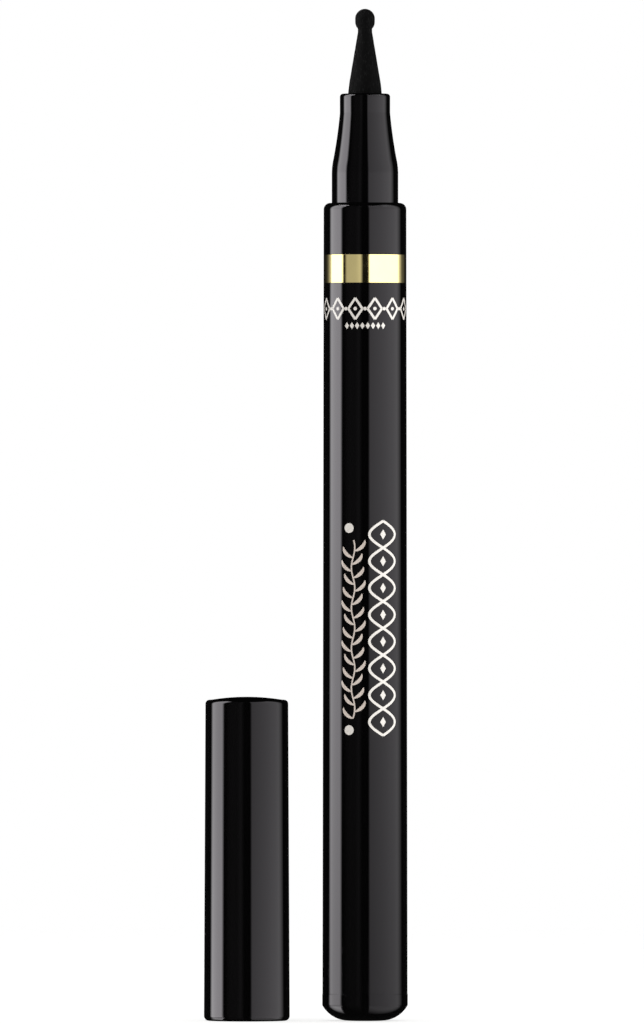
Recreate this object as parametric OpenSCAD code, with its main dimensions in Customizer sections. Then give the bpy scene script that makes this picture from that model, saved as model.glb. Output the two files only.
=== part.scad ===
// Liquid eyeliner pen with a ball-tipped felt nib, and its cap standing on its mouth beside it.
// Sizes are in millimetres. The pen's axis is Z, and the origin is the middle of the flat under its foot.
// The cap stands on the -X side of the pen, on the same surface.

/* [Barrel] */
// Height of the barrel's shoulder above the foot of the pen
shoulder_z = 101; // [97:1:108]
// Width across the barrel's upper end
barrel_top_d = 10.2; // [9.6:0.1:11.4]
// How much the barrel's radius grows from its upper end to its lower end
barrel_draft = 0.15; // [0:0.01:0.3]
// Radius of the shoulder's rounded edge
shoulder_r = 0.8; // [0.3:0.05:0.85]
// Wall of the barrel at its upper end, round the reservoir
barrel_wall = 1; // [0.8:0.1:1.2]
// Wall of the barrel's neck, which grips the nose section
neck_wall = 1.4; // [1.3:0.1:1.8]

/* [Foil band] */
// Distance of the band's upper edge below the shoulder
band_drop = 6.4; // [2:0.2:40]
// Height of the band
band_h = 3.5; // [1:0.5:8]
// Thickness of the foil
band_t = 0.05; // [0.03:0.01:0.1]

/* [End plug] */
// Height of the end plug that shows below the barrel
plug_h = 3.3; // [2.6:0.1:6]
// Height of the plug's rounded underside
foot_h = 1.9; // [1:0.1:2.2]
// Radius of the plug's rounded underside
foot_r = 3.7; // [2.4:0.1:5]
// How far the plug's rim stands out past the barrel
rim_proud = 0.03; // [0:0.01:0.08]
// Thickness of the plug's floor and of its spigot
plug_wall = 1; // [0.7:0.1:1.3]
// Length of the plug's spigot inside the barrel
plug_spigot_len = 7; // [5:0.5:9]
// Height of the cross that carries the reservoir, above the spigot
prop_h = 3.7; // [1:0.1:12]
// Thickness of the cross's blades
prop_t = 0.8; // [0.6:0.1:1.2]

/* [Nose section] */
// Height of the nose section above the shoulder
nose_h = 13.5; // [13:0.5:16]
// Width of the shoulder that shows round the nose section
shoulder_w = 1; // [0.9:0.05:1.2]
// Height of the nose section's straight land, where the cap grips
nose_land_h = 4.4; // [3.6:0.2:5.2]
// How much the nose section's radius falls from the land to the collar round the nib
nose_fall = 1; // [0.8:0.05:1.2]
// Height of the collar
nose_collar_h = 2.4; // [1.8:0.2:3.2]
// Radius of the collar's upper edge
nose_edge_r = 0.4; // [0.2:0.05:0.5]
// Length of the nose section's spigot inside the barrel's neck
nose_spigot_len = 9; // [8:0.5:12]
// Wall of the collar round the nib
collar_wall = 0.95; // [0.7:0.05:1.1]

/* [Nib] */
// Height of the nib above the nose section
nib_h = 10.5; // [9:0.5:12]
// Height of the nib's nearly straight root
nib_root_h = 1.2; // [0.6:0.1:2]
// How much the nib's radius falls over its root
nib_root_fall = 0.125; // [0.05:0.005:0.25]
// Width of the neck under the ball
nib_neck_d = 1.8; // [1.5:0.1:2.1]
// Distance of the neck below the tip
nib_neck_drop = 2.9; // [2.8:0.1:3.6]
// Width of the ball
ball_d = 2.46; // [2.2:0.02:2.6]
// Height of the ball's straight middle
ball_mid_h = 0.4; // [0.1:0.1:0.6]
// Length of the nib's thick body inside the nose section
nib_body_len = 5; // [4:0.5:6]
// How far the tail, which draws the ink, steps in from the nib's body
tail_step = 0.8; // [0.6:0.05:1]
// Depth of the tail in the reservoir
pierce_depth = 6.5; // [4:0.5:12]

/* [Nib holder] */
// How far the holder reaches out past the nib's body, which stops it in the nose section
holder_step = 0.4; // [0.3:0.05:0.5]
// Thickness of the holder's flange
flange_t = 0.7; // [0.5:0.1:1.2]
// Number of air channels along the holder
vent_count = 4; // [3:1:6]
// Width of an air channel
vent_w = 0.6; // [0.4:0.1:0.8]
// Depth of an air channel
vent_depth = 0.4; // [0.2:0.1:0.6]

/* [Reservoir] */
// Thickness of the film round the core
wrap_t = 0.1; // [0.05:0.01:0.15]
// Number of ribs in the barrel that centre the reservoir
rib_count = 6; // [3:1:8]
// Width of such a rib
rib_w = 0.8; // [0.5:0.1:1.2]
// Height of such a rib, which is the width of the air gap round the reservoir
rib_h = 0.23; // [0.15:0.01:0.4]

/* [Cap] */
// Height of the cap
cap_h = 40; // [38:1:48]
// How far the cap's mouth stands out past the barrel's upper end
cap_step = 0.2; // [0.1:0.05:0.4]
// How much the cap's radius falls from its mouth to its closed end
cap_draft = 0.19; // [0:0.01:0.3]
// Radius of the mouth's outer edge
cap_rim_r = 0.6; // [0.3:0.05:0.7]
// Radius of the edge of the closed end
cap_edge_r = 0.5; // [0.2:0.01:0.7]
// Rise of the domed end above its edge
cap_dome_h = 0.4; // [0.1:0.05:0.6]
// Thickness of the closed end
cap_end_t = 1.6; // [1.4:0.1:2.4]
// Number of ribs that hold the inner cap down
cap_rib_count = 6; // [3:1:8]
// Width of such a rib
cap_rib_w = 0.8; // [0.5:0.1:1.2]
// How far such a rib reaches in from the cap's bore
cap_rib_reach = 1.4; // [1:0.1:2]

/* [Inner cap] */
// How far the inner cap's body lies inside the cap's bore
inner_body_step = 0.1; // [0.05:0.05:0.3]
// Thickness of the inner cap's closed end
inner_end_t = 1; // [0.6:0.1:1.6]
// Height of the inner cap's collar
inner_collar_h = 5; // [3.5:0.5:8]
// Free height over the ball of a capped pen
tip_room = 1.5; // [1:0.1:3]

/* [Place of the cap] */
// Distance between the axes of the pen and of the cap beside it
cap_apart = 14.6; // [13:0.2:40]

/* [Clearances] */
// Radial clearance of the cap on the nose section
run_gap = 0.02; // [0.01:0.005:0.05]
// Radial gap left round a piece that is pressed in
snug_gap = 0.01; // [0.005:0.005:0.02]
// Gap left where a piece stops short of its neighbour
seat_gap = 0.3; // [0.1:0.1:0.5]
// Radial gap round the nib's body, which lets air past
air_gap = 0.05; // [0.03:0.01:0.1]
// Radial gap between the inner cap and the nose section's taper
taper_gap = 0.15; // [0.1:0.01:0.2]

/* [Hidden] */
$fn = 96;

// Overrun of every cut past the face that it opens, and of every joint between solids of one piece
over = 0.2;
// Share of the nose section's taper that falls evenly, where the rest curves in
taper_even_share = 0.62;
// Steps along that taper
taper_steps = 8;
// Height and depth of the snap bead on the nose section, and its distance below the shoulder
snap_h = 0.8;
snap_depth = 0.15;
snap_drop = 6;
// Height of each sealing bead on the plug's spigot, and how far the spigot lies inside them
seal_h = 0.7;
seal_depth = 0.15;
// Blades of the cross on the end plug
prop_blades = 4;
// Distance of each sealing bead from the nearer end of the plug's spigot
seal_lead = 1.6;
// Height of the tail's pointed end, and share of the tail's width that its blunt tip keeps
tail_point_h = 1.2;
tail_point_share = 0.4;
// Lengths of the chamfers on the cap's mouth and on the ends of the spigots
mouth_lead = 0.2;
spigot_lead = 0.3;
// Height of the cap's wide bore past the nose section's land, and from there to the inner cap
land_room = 2.4;
inner_lead = 2.4;
// How far the cap's upper bore steps in from its mouth, which stops the inner cap's collar
bore_step = 0.3;
// Radius of the inner cap's upper edge
inner_edge_r = 0.3;
// Gap between the barrel's ribs and the plug's spigot below them
rib_lead = 1;

// Radii that several pieces share
barrel_top_r = barrel_top_d / 2;
barrel_bore_r = barrel_top_r - barrel_wall;
neck_bore_r = barrel_top_r - neck_wall;
rim_r = barrel_top_r + barrel_draft + rim_proud;
nose_base_r = barrel_top_r - shoulder_w;
nose_top_r = nose_base_r - nose_fall;
nib_r = nose_top_r - collar_wall - air_gap;
tail_r = nib_r - tail_step;
nose_bore_r = nib_r + holder_step;
wrap_r = barrel_bore_r - rib_h - snug_gap;
core_r = wrap_r - wrap_t - snug_gap;
cap_mouth_r = barrel_top_r + cap_step;
cap_top_r = cap_mouth_r - cap_draft;
cap_bore_r = nose_base_r + run_gap;
inner_seat_r = cap_bore_r - bore_step;
inner_body_r = inner_seat_r - inner_body_step;
inner_bore_r = nose_top_r + run_gap;

// Heights along the pen
nose_top_z = shoulder_z + nose_h;
tip_z = nose_top_z + nib_h;
spigot_end_z = shoulder_z - nose_spigot_len;
neck_z = spigot_end_z - flange_t - seat_gap;
holder_top_z = nose_top_z - nib_body_len;
plug_spigot_z = plug_h + plug_spigot_len;
reservoir_z = plug_spigot_z + prop_h;
tail_end_z = neck_z - pierce_depth;

// Heights along the cap, from its mouth
cap_land_z = nose_land_h + land_room;
inner_z = cap_land_z + inner_lead;
chamber_top_z = nose_h + nib_h + tip_room;
inner_top_z = chamber_top_z + inner_end_t;
cap_ceiling_z = cap_h - cap_end_t;

gloss_black = [0.03, 0.03, 0.035];
gold = [0.78, 0.66, 0.38];
felt_black = [0.07, 0.07, 0.07];
natural_white = [0.92, 0.92, 0.88];
ink_grey = [0.2, 0.2, 0.22];
film = [0.75, 0.8, 0.85];

// Outer radius of the barrel at a height
function barrel_r(z) = barrel_top_r + barrel_draft * (shoulder_z - z) / (shoulder_z - plug_h);

// Share of the taper's fall at a share of the way down from the collar
function taper_fall(t) = taper_even_share * t + (1 - taper_even_share) * t * t;

// Radius and height of a point of the nose section's taper, measured from its foot
function taper_point(t) = [
    nose_top_r + (nose_base_r - nose_top_r) * taper_fall(t),
    nose_land_h + (nose_h - nose_collar_h - nose_land_h) * (1 - t)
];

// Points of the taper from one share of the way down to another
function taper_points(from, to) =
    [for (i = [0:taper_steps]) taper_point(from + (to - from) * i / taper_steps)];

// Share of the way down the taper at which a height lies
function taper_share_at(z) = (nose_h - nose_collar_h - z) / (nose_h - nose_collar_h - nose_land_h);

// Radius of the circle through the middle of a dome and its edge
function dome_r(half_width, rise) = (half_width * half_width + rise * rise) / (2 * rise);

// Outline of a round bar or of the wall of a tube, for turning about Z
module band_2d(r_in, r_out, z_low, z_high) {
    translate([r_in, z_low]) square([r_out - r_in, z_high - z_low]);
}

// Outline of a raised bead or a cut groove round radius r, with sloping sides
module bead_2d(r, z, h, depth) {
    polygon([
        [r - over, z - h / 2],
        [r, z - h / 2],
        [r + depth, z - h / 4],
        [r + depth, z + h / 4],
        [r, z + h / 2],
        [r - over, z + h / 2]
    ]);
}

// Copies of a blade that stand out from radius r_in to r_out all round Z
module blades(count, r_in, r_out, width, z_low, z_high) {
    for (i = [0:count - 1])
        rotate([0, 0, i * 360 / count])
            translate([r_in, -width / 2, z_low])
                cube([r_out - r_in, width, z_high - z_low]);
}

// Ring of the barrel's skin between two heights, from a depth below the skin outwards
module skin_2d(z_low, z_high, depth, out) {
    polygon([
        [barrel_r(z_low) - depth, z_low],
        [barrel_r(z_low) + out, z_low],
        [barrel_r(z_high) + out, z_high],
        [barrel_r(z_high) - depth, z_high]
    ]);
}

module barrel_2d() {
    edge_z = shoulder_z - shoulder_r;
    difference() {
        union() {
            polygon([
                [0, plug_h],
                [barrel_r(plug_h), plug_h],
                [barrel_r(edge_z), edge_z],
                [barrel_r(edge_z) - shoulder_r, shoulder_z],
                [0, shoulder_z]
            ]);
            translate([barrel_r(edge_z) - shoulder_r, edge_z]) circle(r = shoulder_r);
        }
        band_2d(0, barrel_bore_r, plug_h - over, neck_z);
        band_2d(0, neck_bore_r, neck_z - over, shoulder_z + over);
        bead_2d(neck_bore_r, shoulder_z - snap_drop, snap_h + snap_depth, snap_depth + snug_gap);
        skin_2d(shoulder_z - band_drop - band_h, shoulder_z - band_drop, band_t + snug_gap, over);
    }
}

module barrel() {
    color(gloss_black) {
        rotate_extrude() barrel_2d();
        blades(rib_count, wrap_r + snug_gap, barrel_bore_r + over, rib_w,
               plug_spigot_z + rib_lead, neck_z + over);
    }
}

module foil_band() {
    color(gold)
        rotate_extrude()
            skin_2d(shoulder_z - band_drop - band_h, shoulder_z - band_drop, band_t, 0);
}

module end_plug_2d() {
    flat_r = rim_r - sqrt(foot_r * foot_r - (foot_r - foot_h) * (foot_r - foot_h));
    spigot_r = barrel_bore_r - snug_gap - seal_depth;
    // Domed foot
    intersection() {
        union() {
            translate([flat_r, foot_r]) circle(r = foot_r);
            band_2d(0, flat_r, 0, foot_h);
        }
        difference() {
            band_2d(0, rim_r, 0, foot_h);
            band_2d(0, spigot_r - plug_wall, plug_wall, foot_h + over);
        }
    }
    // Rim
    band_2d(spigot_r - plug_wall, rim_r, foot_h, plug_h);
    // Spigot and its beads
    band_2d(spigot_r - plug_wall, spigot_r, plug_h, plug_spigot_z - spigot_lead);
    polygon([
        [spigot_r - plug_wall, plug_spigot_z - spigot_lead],
        [spigot_r, plug_spigot_z - spigot_lead],
        [spigot_r - spigot_lead, plug_spigot_z],
        [spigot_r - plug_wall, plug_spigot_z]
    ]);
    bead_2d(spigot_r, plug_h + seal_lead, seal_h, seal_depth);
    bead_2d(spigot_r, plug_spigot_z - seal_lead, seal_h, seal_depth);
}

module end_plug() {
    blade_r = barrel_bore_r - snug_gap - seal_depth - plug_wall / 2;
    color(gloss_black) {
        rotate_extrude() end_plug_2d();
        // Cross that carries the reservoir
        intersection() {
            blades(prop_blades, -prop_t / 2, blade_r, prop_t, plug_wall / 2, reservoir_z);
            union() {
                translate([0, 0, plug_wall / 2])
                    cylinder(r = blade_r, h = plug_spigot_z - spigot_lead - plug_wall / 2);
                translate([0, 0, plug_wall / 2])
                    cylinder(r = blade_r - plug_wall / 2, h = reservoir_z - plug_wall / 2);
            }
        }
    }
}

module nose_section_2d() {
    spigot_r = neck_bore_r - snug_gap;
    difference() {
        union() {
            translate([0, shoulder_z])
                polygon(concat(
                    [[0, 0], [nose_base_r, 0]],
                    taper_points(1, 0),
                    [[nose_top_r, nose_h - nose_edge_r], [nose_top_r - nose_edge_r, nose_h], [0, nose_h]]
                ));
            translate([nose_top_r - nose_edge_r, nose_top_z - nose_edge_r]) circle(r = nose_edge_r);
            polygon([
                [0, spigot_end_z],
                [spigot_r - spigot_lead, spigot_end_z],
                [spigot_r, spigot_end_z + spigot_lead],
                [spigot_r, shoulder_z],
                [0, shoulder_z]
            ]);
            bead_2d(spigot_r, shoulder_z - snap_drop, snap_h, snap_depth);
        }
        band_2d(0, nose_bore_r, spigot_end_z - over, holder_top_z);
        band_2d(0, nib_r + air_gap, holder_top_z - over, nose_top_z + over);
    }
}

module nose_section() {
    color(gloss_black) rotate_extrude() nose_section_2d();
}

module nib_2d() {
    ball_r = ball_d / 2;
    ball_z = tip_z - ball_r - ball_mid_h;
    polygon([
        [0, tail_end_z],
        [tail_r * tail_point_share, tail_end_z],
        [tail_r, tail_end_z + tail_point_h],
        [tail_r, holder_top_z],
        [nib_r, holder_top_z],
        [nib_r, nose_top_z],
        [nib_r - nib_root_fall, nose_top_z + nib_root_h],
        [nib_neck_d / 2, tip_z - nib_neck_drop],
        [nib_neck_d / 2, ball_z],
        [0, ball_z]
    ]);
    intersection() {
        union() {
            translate([0, ball_z]) circle(r = ball_r);
            band_2d(0, ball_r, ball_z, ball_z + ball_mid_h);
            translate([0, ball_z + ball_mid_h]) circle(r = ball_r);
        }
        band_2d(0, ball_d, ball_z - ball_d, tip_z + over);
    }
}

module nib() {
    color(felt_black) rotate_extrude() nib_2d();
}

module nib_holder() {
    sleeve_r = nose_bore_r - snug_gap;
    flange_r = neck_bore_r - seat_gap;
    color(natural_white)
        difference() {
            union() {
                rotate_extrude() band_2d(tail_r + air_gap, sleeve_r, spigot_end_z - flange_t, holder_top_z);
                rotate_extrude() band_2d(tail_r + air_gap, flange_r, spigot_end_z - flange_t, spigot_end_z);
            }
            blades(vent_count, sleeve_r - vent_depth, flange_r + over, vent_w,
                   spigot_end_z - flange_t - over, holder_top_z + over);
        }
}

module reservoir_core() {
    color(ink_grey)
        rotate_extrude()
            difference() {
                band_2d(0, core_r, reservoir_z, neck_z);
                band_2d(0, tail_r + snug_gap, tail_end_z - snug_gap, neck_z + over);
            }
}

module reservoir_wrap() {
    color(film) rotate_extrude() band_2d(core_r + snug_gap, wrap_r, reservoir_z, neck_z);
}

module cap_outer_2d() {
    top_edge_z = cap_h - cap_dome_h - cap_edge_r;
    dome_half = cap_top_r - cap_edge_r;
    polygon([
        [0, 0],
        [cap_mouth_r - cap_rim_r, 0],
        [cap_mouth_r, cap_rim_r],
        [cap_top_r, top_edge_z],
        [cap_top_r - cap_edge_r, top_edge_z + cap_edge_r],
        [0, top_edge_z + cap_edge_r]
    ]);
    translate([cap_mouth_r - cap_rim_r, cap_rim_r]) circle(r = cap_rim_r);
    translate([cap_top_r - cap_edge_r, top_edge_z]) circle(r = cap_edge_r);
    // Domed end
    intersection() {
        translate([0, cap_h - dome_r(dome_half, cap_dome_h)]) circle(r = dome_r(dome_half, cap_dome_h));
        band_2d(0, dome_half, top_edge_z, cap_h + over);
    }
}

module cap_shell() {
    color(gloss_black)
        translate([-cap_apart, 0, 0]) {
            rotate_extrude()
                difference() {
                    cap_outer_2d();
                    band_2d(0, cap_bore_r, -over, cap_land_z);
                    band_2d(0, inner_seat_r, cap_land_z - over, cap_ceiling_z);
                    polygon([
                        [0, -over],
                        [cap_bore_r + mouth_lead + over, -over],
                        [cap_bore_r, mouth_lead],
                        [0, mouth_lead]
                    ]);
                }
            blades(cap_rib_count, inner_seat_r - cap_rib_reach, inner_seat_r + over, cap_rib_w,
                   inner_top_z, cap_ceiling_z + over);
        }
}

module inner_cap_2d() {
    seal_z = nose_h - nose_collar_h + taper_gap;
    difference() {
        union() {
            band_2d(0, inner_seat_r - snug_gap, inner_z, inner_z + inner_collar_h);
            band_2d(0, inner_body_r, inner_z, inner_top_z - inner_edge_r);
            band_2d(0, inner_body_r - inner_edge_r, inner_z, inner_top_z);
            translate([inner_body_r - inner_edge_r, inner_top_z - inner_edge_r]) circle(r = inner_edge_r);
        }
        // Funnel that clears the nose section's taper
        polygon(concat(
            [[0, inner_z - over]],
            [for (p = taper_points(taper_share_at(inner_z - over), 0)) p + [taper_gap, 0]],
            [[nose_top_r + taper_gap, seal_z], [0, seal_z]]
        ));
        // Seal on the nose section's collar, and the nib's chamber above it
        band_2d(0, inner_bore_r, seal_z - over, chamber_top_z);
    }
}

module inner_cap() {
    color(natural_white)
        translate([-cap_apart, 0, 0])
            rotate_extrude() inner_cap_2d();
}

barrel();
foil_band();
end_plug();
nose_section();
nib();
nib_holder();
reservoir_core();
reservoir_wrap();
cap_shell();
inner_cap();
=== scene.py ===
"""Looks of the liquid eyeliner pen and its cap, on a plain pale floor in soft studio light."""
import math

import bmesh
import bpy
from bpy.props import FloatProperty, FloatVectorProperty, IntProperty, PointerProperty
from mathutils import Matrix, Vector, noise


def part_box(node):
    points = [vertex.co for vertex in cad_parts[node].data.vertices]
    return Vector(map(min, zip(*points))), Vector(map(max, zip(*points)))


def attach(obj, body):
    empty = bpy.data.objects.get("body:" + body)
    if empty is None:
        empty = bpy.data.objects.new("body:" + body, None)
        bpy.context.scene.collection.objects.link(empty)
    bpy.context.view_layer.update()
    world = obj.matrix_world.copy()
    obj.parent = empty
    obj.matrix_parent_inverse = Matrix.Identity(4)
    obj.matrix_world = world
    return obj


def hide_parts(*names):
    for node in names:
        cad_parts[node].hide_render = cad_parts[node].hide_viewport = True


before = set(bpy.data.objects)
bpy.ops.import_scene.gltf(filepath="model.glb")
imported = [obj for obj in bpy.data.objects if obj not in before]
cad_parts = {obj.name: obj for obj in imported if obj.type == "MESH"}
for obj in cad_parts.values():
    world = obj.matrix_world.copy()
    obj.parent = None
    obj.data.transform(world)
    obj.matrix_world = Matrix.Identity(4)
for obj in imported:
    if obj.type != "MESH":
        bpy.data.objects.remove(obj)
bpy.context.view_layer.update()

bl_info = {
    "name": "Liquid eyeliner pen",
    "version": (1, 0, 0),
    "blender": (4, 5, 0),
    "location": "3D view > Sidebar > Eyeliner pen",
    "description": "Turns, prints and lights a slim black eyeliner pen with a felt nib and its cap",
    "category": "Add Mesh",
}

MM = 0.001

# The photograph's frame in pixels, the pixel that shows the pen's axis, the one that shows
# the surface it stands on, and the size of a pixel at the pen
PHOTO_WIDTH = 644
PHOTO_HEIGHT = 1024
AXIS_PIXEL = 365.0
FLOOR_PIXEL = 1020.6
PIXEL = 0.12353 * MM

# Where the solids lie
BARREL_LOW, BARREL_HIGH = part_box("barrel")
BAND_LOW, BAND_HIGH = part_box("foil_band")
_, PLUG_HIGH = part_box("end_plug")
NOSE_LOW, NOSE_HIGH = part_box("nose_section")
NIB_LOW, NIB_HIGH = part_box("nib")
CAP_LOW, CAP_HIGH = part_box("cap_shell")
LINER_LOW, LINER_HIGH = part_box("inner_cap")
HOLDER_LOW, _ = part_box("nib_holder")
CAP_X = (CAP_LOW.x + CAP_HIGH.x) / 2

# How finely things are divided
SIDES = 192
FELT_SIDES = 224
ARC_STEP = math.radians(9)
DOME_STEPS = 14
NOSE_STEPS = 10
LINER_STEPS = 12
FELT_STEP = 0.09 * MM
PRINT_STEP = 0.2 * MM
DOT_STEPS = 16
# How far beside a rounding a point keeps the shading even, and the room that it needs
EASE = 0.06 * MM
EASE_ROOM = 3 * EASE
# A length that counts as none, and the turn from which an edge stays sharp
NO_LENGTH = 1e-6 * MM
SHARP_ANGLE = math.radians(40)

# Share of the nose's taper that falls evenly, where the rest curves in
EVEN_SHARE = 0.62
# Play of a pressed fit and of the felt in its hole, gap before a neighbour, bite of a rib in its wall
SNUG_GAP = 0.01 * MM
FELT_GAP = 0.05 * MM
SEAT_GAP = 0.3 * MM
BITE = 0.2 * MM
# Ribs in the barrel, which start above the plug's spigot
RIB_COUNT = 6
RIB_WIDTH = 0.8 * MM
RIB_HEIGHT = 0.23 * MM
RIB_LEAD = 1.0 * MM
# The plug's spigot in the barrel's bore, and its dished floor
SPIGOT_STEP = 0.16 * MM
FLOOR_DISH = 0.4 * MM
# The cross on the plug, whose blades are wide inside the spigot and narrow above it
BLADE_COUNT = 4
BLADE_PAST = 0.4 * MM
BLADE_BITE = 0.3 * MM
BLADE_DROP = 0.3 * MM
BLADE_LAP = 0.1 * MM
# The pointed end of the nib's tail
TAIL_POINT = 1.2 * MM
TAIL_TIP_SHARE = 0.4
# Reach of the ribs over the liner, and chamfer of the cap's mouth
CAP_RIB_REACH = 1.4 * MM
MOUTH_CUT = 0.2 * MM
# The liner's gap to the nose's taper, its closed end, and least height of a point over its mouth
TAPER_GAP = 0.15 * MM
LINER_END = 1.0 * MM
LINER_LEAST = 0.02 * MM
# Roundings of edges
GROOVE_ROUND = 0.015 * MM
FOIL_ROUND = 0.012 * MM
MOUTH_ROUND = 0.1 * MM
LEAD_ROUND = 0.3 * MM
RIM_ROUND = 0.35 * MM
COLLAR_FOOT_ROUND = 0.9 * MM
HOLE_ROUND = 0.08 * MM
STEP_ROUND = 0.05 * MM
CEILING_ROUND = 0.15 * MM
LINER_FOOT_ROUND = 0.12 * MM
LINER_STEP_ROUND = 0.06 * MM
LINER_BODY_ROUND = 0.03 * MM
CHAMBER_ROUND = 0.2 * MM
# Heights over their feet up to which hands and trays rub the black pieces
BARREL_RUB = 22 * MM
PLUG_RUB = 4 * MM
NOSE_RUB = 4 * MM
CAP_RUB = 5 * MM

# Upward part of a face's direction over which it turns into a matt end face, and most noise's range
END_TILTS = (0.90, 0.95)
NOISE_RANGE = (0.3, 0.7)
# The hollows in the felt: the even share of their depth, and the width, length and share of the fibres,
# the pits and the lumps
EVEN_DEPTH = 0.5
HOLLOWS = (
    (0.16 * MM, 0.9 * MM, 0.28),
    (0.14 * MM, 0.14 * MM, 0.16),
    (0.6 * MM, 0.6 * MM, 0.2),
)

# Places in the photograph: left, right, top and foot of the broad chain; column and rows of the two dots;
# column and rows of the sprig; rows of the two lines under the band
CHAIN_PIXELS = (368.0, 395.5, 521.0, 735.0)
DOT_PIXELS = (349.0, 528.0, 729.7)
SPRIG_PIXELS = (353.0, 540.0, 718.0)
ROW_PIXELS = (309.0, 326.0)
# Depth of the ink in the barrel, half width of a dot's end, and how much a line lies over another
INK_SINK = 0.02 * MM
LEAST_HALF = 0.01 * MM
LAP = 0.004 * MM
# The chain, with a lozenge in each eye
CHAIN_EYES = 8
EYE_STEPS = 24
EYE_HALF = 0.38 * MM
EYE_RISE = 0.62 * MM
# The sprig: its leaves, whose width swells between their ends, and its stem
LEAF_PAIRS = 13
LEAF_STEPS = 10
LEAF_REACH = 1.3 * MM
LEAF_RISE = 1.35 * MM
LEAF_CURL = 1.4
LEAF_END = 0.3
LEAF_SWELL = 1.5
LEAF_POWER = 0.8
STEM_SWING = 0.22 * MM
STEM_PITCHES = 3
STEM_STEPS = 80
STEM_SHARE = 0.75
# The row of open lozenges, and the small row under it
ROW_COUNT = 6
ROW_PITCH = 2.45 * MM
ROW_RISE = 1.3 * MM
ROW_REACH = 0.9 * MM
ROW_STEPS = 10
ROW_DOT = 0.22 * MM
ROW_SHARE = 1.2
SMALL_COUNT = 8
SMALL_PITCH = 0.66 * MM
SMALL_HALF = 0.28 * MM
SMALL_RISE = 1.5 * SMALL_HALF

# Slots of the bright pieces, which have lights of their own
GOLD_SLOT = "gold_foil"
PRINT_SLOT = "pale_print"
# Groups of pieces that are lit apart: share of the upright lights at heights in metres, share of the
# distance at which the group's lights stand, and share of the flat lights
LIT = "lit_"
LIT_GROUPS = {
    "pen": {"rise": ((-0.025, 0.60), (0.07, 0.865), (0.105, 0.93), (0.125, 0.89), (0.2, 0.80)),
            "near": 1.0, "flat": 1.0},
    "cap": {"rise": ((-0.025, 0.955), (0.03, 0.775)), "near": 0.985, "flat": 1.12},
    "bright": {"rise": ((-0.025, 0.70), (0.15, 1.0)), "near": 0.97},
}
BLACK_GROUPS = ("pen", "cap")
# Upright lights round the pen: name, brightness, share of it at angles from the camera's side, the groups
# that see it, and the share of its lowest brightness that is left far below the floor
WALL_LIGHTS = (
    ("left_light", "left_light",
     ((-116, 0.0), (-107, 0.92), (-85, 0.96), (-73, 1.0), (-66, 0.0)),
     BLACK_GROUPS, 0.33),
    ("front_board", "front_board",
     ((-60, 0.0), (-52, 0.35), (-42, 0.5), (-27, 0.5), (-17, 0.95), (-8, 0.0)),
     BLACK_GROUPS, 1.0),
    ("right_light", "right_light",
     ((9, 0.0), (14, 0.65), (42, 0.82), (72, 1.0), (98, 1.0), (104, 0.72), (111, 0.35), (119, 0.0)),
     BLACK_GROUPS, 1.0),
    ("left_glow", "gold_light",
     ((-150, 0.002), (-138, 0.005), (-130, 0.019), (-124, 0.055), (-119, 0.124), (-111, 0.28),
      (-106, 1.1), (-69, 1.1), (-62, 0.0)),
     ("bright",), 1.0),
    ("front_glow", "gold_board",
     ((-58, 0.0), (-52, 0.85), (-25, 0.9), (-13, 1.15), (-6, 0.0)),
     ("bright",), 1.0),
    ("right_glow", "gold_light",
     ((9, 0.0), (14, 1.0), (103, 0.95), (112, 0.3), (124, 0.05), (145, 0.01)),
     ("bright",), 1.0),
)
# Flat lights under the pen, which rounded edges mirror: name, brightness, share of it,
# the side to which it grows brighter, and its corners in metres
FLAT_LIGHTS = (
    ("left_under", "left_light", 0.56, -1.0, ((-0.92, -0.35), (-0.25, 0.32), (-1.0, 1.07), (-1.0, -0.35))),
    ("front_under", "front_board", 0.35, 0.0, ((-0.84, -0.54), (-0.25, 0.05), (-0.05, 0.05), (-0.16, -0.99))),
    ("right_under", "right_light", 0.476, 1.0, ((0.19, -0.98), (0.05, 0.05), (1.0, 1.0), (1.0, -0.98))),
)
# Foot and top of the upright lights, the heights between which some of them dim, and their parts
LIGHT_FOOT = -0.6
LIGHT_TOP = 1.8
DIM_LOW = -0.32
DIM_HIGH = -0.27
PANEL_PARTS = 48
# Width over which the flat lights grow, and squares of the distances over which they fade out again
FLAT_FADE = 0.35
FAR_SQUARES = (1.0, 1.3)
# Half the side and the height of the light over the floor
SKY_HALF = 0.9
SKY_HIGH = 0.9
# The floor, its fade from a distance to a share of its radius, and its shares of matte and glow
FLOOR_R = 0.60
FLOOR_SIDES = 128
FLOOR_FADE = 0.15
FLOOR_END = 0.98
FLOOR_MATTE = 0.5
FLOOR_GLOW = 0.78
# The camera's sensor, and the nearest that it sees
SENSOR = 36.0
NEAREST = 0.05


def length(name, default, description):
    """A property that holds a length, whose default is in millimetres."""
    return FloatProperty(name=name, default=default * MM, description=description,
                         unit="LENGTH", precision=6, min=0.0)


def colour(name, default, description):
    """A property that holds a colour."""
    return FloatVectorProperty(name=name, default=default, description=description,
                               subtype="COLOR", size=3, min=0.0, max=1.0)


def brightness(name, default, source):
    """A property that holds the brightness of a light."""
    return FloatProperty(name=name, default=default, description=f"Brightness of the {source}", min=0.0)


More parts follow.
